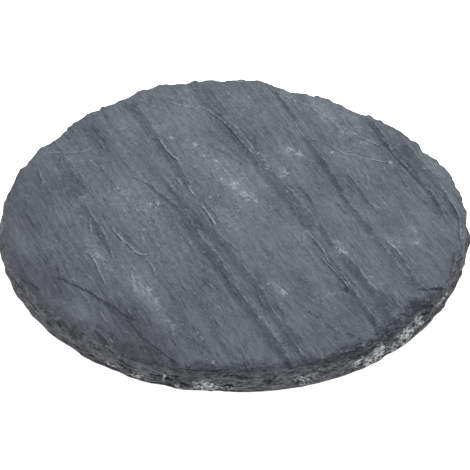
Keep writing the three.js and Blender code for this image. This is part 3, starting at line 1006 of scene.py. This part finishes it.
# %% Dark bands, scratches and seams, with painted ledge highlights and shadows
ragged = slate.attribute("band_side") + streaks_fine * 1.0 + mottle * 0.9
band_force = slate.attribute("band_force")
dark = band_force * ragged.between(-1.7, -0.4) * (1 - ragged.between(0.7, 1.0))
dark = dark * (0.9 + streaks_fine * 1.0 + streaks_long * 1.0)
band_rim = band_force * ragged.between(0.8, 1.0) * (1 - ragged.between(1.1, 1.6))
band_rim = band_rim * (mottle + streaks_fine).between(-0.02, 0.16)
scratch_and_highlight_side, scratch_and_highlight_force = slate.attribute("scratch_and_highlight_side"), slate.attribute("scratch_and_highlight_force")
# Pale lines: scratches and hairlines, and painted highlights along the ledge edges
scratch_and_highlight = scratch_and_highlight_force * (1 - scratch_and_highlight_side.abs().between(0.1, 0.70))
scratch_and_highlight = scratch_and_highlight * (0.75 + mottle * 3.0 + grain * 5.0)
# Painted shadow: a dark line beside each pale line, where a ledge's riser is in shade
shadow_line = scratch_and_highlight_force * (1 - (scratch_and_highlight_side + 1.4).abs().between(0.2, 1.0))
seams = (1 - seam.abs().between(0.004, 0.016)) * (cloud + mottle).between(-0.04, 0.12)
print("bands, scratches and seams")

# %% Dust, specks, flecks and threads of pale mineral
tone, fleck = slate.attribute("tone"), slate.attribute("fleck")
pale_tone = tone.math("MAXIMUM", tone, 0.0)
dust = (powder + pale_tone * 0.06).between(0.07, 0.20)
cells = slate.node("ShaderNodeTexVoronoi", None, {
    "Vector": slate.mapped(laid, Scale=(170, 260, 200)), "Scale": 1.0,
})
cell_colour = {"Color": Wire(slate, cells.outputs["Color"])}
pick = slate.node("ShaderNodeSeparateColor", None, cell_colour).outputs["Red"]
specks = 1 - Wire(slate, cells.outputs["Distance"]).between(0.10, 0.22)
specks = specks * Wire(slate, pick).between(0.76, 0.80)
fleck_spot = (fleck + grain * 2.6 + mottle * 1.2).between(0.52, 0.98) * fleck.between(0.05, 0.35)
threads = (1 - thread.abs().between(0.008, 0.045)) * (grain + mottle).between(-0.08, 0.10)
threads = threads * (pale_tone + fleck * 0.8).clamped()
print("dust, specks, flecks and threads")

# %% Scars by the edge: painted shade on their borders and floors
worn = slate.attribute("worn")
scar_side = slate.attribute("scar_side") + mottle * 2.5 + grain * 1.5
scar_shade = slate.attribute("scar_shade_force") * (1 - worn * 0.85)
# Painted shadow along each scar's border, and painted shade on its floor mixed with the break's
# dark colour
scar_shadow_line = (1 - scar_side.abs().between(0.25, 0.9)) * scar_shade
scar_floor_break_and_shade = (1 - scar_side.between(-1.2, -0.4)) * scar_shade
print("scars")

# %% Colour of the face
level = 0.505 + cloud * 0.5 + streaks_long * 0.75 + streaks_fine * 0.85
level = level + mottle * 0.5 + grain * 0.8
# The tone term also carries the painted sheen over the middle and painted shade at the near side
level = level + tone * 0.36 * (1 + mottle * 2.5) - dark * 0.29
# Painted shade: the shadow beside the ledge lines and the dark side of each small step
level = level - shadow_line * 0.26 - step_shade * 0.20
# Painted shade in the scars, with the dark rough colour of the break on their floors
level = level - scar_shadow_line * (0.52 + mottle * 2.2)
level = level - scar_floor_break_and_shade * (0.28 + layered * 2.2 + chips * 1.4) - seams * 0.13
# The pale lines include painted highlights on ledge edges and on the edges of small steps
bright = scratch_and_highlight * 0.26 + band_rim * 0.12 + step_highlight * 0.07 + dust * (0.05 + pale_tone * 0.16)
bright = bright + specks * (0.12 + pale_tone * 0.3) + fleck_spot * 0.30 + threads * 0.25
face_colour = slate.mix(SLATE_DARK, SLATE_PALE, level.clamped())
face_colour = slate.mix(face_colour, DUST_WHITE, bright.clamped())
browned = slate.attribute("warm") * (0.5 + mottle * 1.5)
face_colour = slate.mix(face_colour, WORN_BROWN, browned.clamped())
print("colour of the face")

# %% Colour of the rim
below_edge, crust = slate.attribute("down"), slate.attribute("crust")
rim_mask = (slate.attribute("rim") + (mottle + chips) * 0.5).between(0.40, 0.62)
ridges = 1 - (slate.attribute("cut_lead") + chips * 0.3).between(0.04, 0.22)
# The worn term here is painted light: it lifts the worn left rim, which the panel leaves in shade
rim_level = 0.42 + worn * 0.07 + slate.attribute("cut_tone") * 0.16 + ridges * 0.14
rim_level = rim_level + (layered * 2.4 + chips * 2.0) * (1 - worn * 0.5)
rim_colour = slate.mix(RIM_DARK, RIM_PALE, rim_level.clamped())
bench_mask = 1 - (below_edge + layered * 0.5).between(0.18, 0.30)
bench_mask = below_edge.between(0.06, 0.10) * bench_mask * (1 - worn)
rim_colour = slate.mix(rim_colour, BENCH_GREY, bench_mask * 0.5)
# Painted shadow: a black line just under the upper edge, where the face's lip shades the rim
shadow_under_edge = below_edge.between(0.005, 0.02) * (1 - (below_edge + chips * 0.06).between(0.07, 0.11))
shadow_under_edge = shadow_under_edge * broken.between(-0.10, 0.02)
rim_colour = slate.mix(rim_colour, SHADOW_BLACK, shadow_under_edge * (0.8 - worn * 0.7))
crust_mask = (crust * (1.0 + chips * 4.5 + layered * 5.5 + mottle * 4.0)).between(0.32, 0.66)
crust_light = (crust * 0.9 - 0.15 + grain * 3.0 + chips * 4.0 + cloud * 2.0).clamped()
crust_colour = slate.mix(CRUST_GREY, CRUST_WHITE, crust_light)
rim_colour = slate.mix(rim_colour, crust_colour, crust_mask)
print("colour of the rim")

# %% Relief too fine for the mesh, and the surface itself
relief = streaks_fine * 0.5 + mottle * 0.25 + grain * 0.4 + tread * 0.12
relief = relief + rim_mask * (layered * 2.2 + chips * 1.4)
relief = relief - scratch_and_highlight_force * scratch_and_highlight_side.between(-0.5, 0.5) * 0.5
bump = slate.node("ShaderNodeBump", None, {"Strength": 1.0, "Distance": 0.0008, "Height": relief})
slate.surface({
    "Base Color": slate.mix(face_colour, rim_colour, rim_mask),
    "Roughness": (0.70 + dark * 0.05 + rim_mask * 0.2 + mottle * 0.25).clamped(),
    "Normal": Wire(slate, bump.outputs["Normal"]),
    "Metallic": 0.0,
    "Specular IOR Level": 0.2,
})
mesh.materials.append(slate.material)
print("slate material:", len(slate.tree.nodes), "nodes")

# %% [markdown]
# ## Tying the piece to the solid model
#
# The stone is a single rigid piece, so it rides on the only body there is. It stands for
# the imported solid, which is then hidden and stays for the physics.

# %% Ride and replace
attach(piece, "root")
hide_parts("slate_stone")
print("piece", piece.name, "stands for slate_stone")

# %% [markdown]
# ## Floor, light and camera
#
# The stone lies on a plain white floor under soft studio light. A large panel above and
# behind it gives the face its faint sheen, and an even white surround fills the shadows.
# The camera looks down at about 38 degrees from in front through a long lens, which is
# why the far side looks hardly smaller than the near side.

# %% Floor
FLOOR_SIZE = 4.0
FLOOR_GAP = 0.0003
ground = bmesh.new()
bmesh.ops.create_grid(ground, x_segments=1, y_segments=1, size=FLOOR_SIZE)
bmesh.ops.translate(ground, verts=ground.verts, vec=(0, 0, -FLOOR_GAP))
floor = to_object(ground, "studio_floor")
paper = Shader("studio_paper")
paper.surface({
    "Base Color": (0.9, 0.9, 0.9, 1), "Roughness": 0.9,
    "Emission Color": (1, 1, 1, 1), "Emission Strength": 0.9,
})
floor.data.materials.append(paper.material)
print("floor", FLOOR_GAP, "m under the stone")

# %% Light
SURROUND_STRENGTH = 0.6
PANEL_PLACE = Vector((0.2, 0.85, 1.5))
PANEL_SIZE = 0.9
PANEL_WATTS = 35

world = bpy.data.worlds.new("studio_surround")
world.use_nodes = True
surround = world.node_tree.nodes["Background"].inputs
surround["Color"].default_value = (1, 1, 1, 1)
surround["Strength"].default_value = SURROUND_STRENGTH
scene.world = world

light = bpy.data.lights.new("panel_above_behind", "AREA")
light.shape = "SQUARE"
light.size = PANEL_SIZE
light.energy = PANEL_WATTS
panel = bpy.data.objects.new("panel_above_behind", light)
panel.location = PANEL_PLACE
panel.rotation_euler = PANEL_PLACE.to_track_quat("Z", "Y").to_euler()
scene.collection.objects.link(panel)
print("one panel and an even surround")

# %% Camera
LENS_PX = 2500.0
FRAME_PX = 470.0
SENSOR_MM = 36.0
ELEVATION = math.radians(38.5)
DISTANCE = 1.62
ROLL = math.radians(-1.15)
MIDDLE_PX = (234.1, 224.7)

target = Vector((0, 0, 0.5 * THICKNESS * MM))
back = Vector((0, -math.cos(ELEVATION), math.sin(ELEVATION)))
right = Vector((1, 0, 0))
up = back.cross(right)
rolled_right = right * math.cos(ROLL) - up * math.sin(ROLL)
rolled_up = right * math.sin(ROLL) + up * math.cos(ROLL)
place_of_camera = target + back * DISTANCE
per_px = DISTANCE / LENS_PX
aim = target + rolled_right * (FRAME_PX / 2 - MIDDLE_PX[0]) * per_px
aim = aim + rolled_up * (MIDDLE_PX[1] - FRAME_PX / 2) * per_px
backward = (place_of_camera - aim).normalized()
side = rolled_up.cross(backward).normalized()
upright = backward.cross(side)

lens = bpy.data.cameras.new("camera")
lens.sensor_width = SENSOR_MM
lens.lens = LENS_PX / FRAME_PX * SENSOR_MM
camera = bpy.data.objects.new("camera", lens)
turn = Matrix((side, upright, backward)).transposed().to_4x4()
camera.matrix_world = Matrix.Translation(place_of_camera) @ turn
scene.collection.objects.link(camera)
scene.camera = camera
scene.view_settings.view_transform = "Standard"
print("camera", round(lens.lens, 1), "mm,", DISTANCE, "m away")
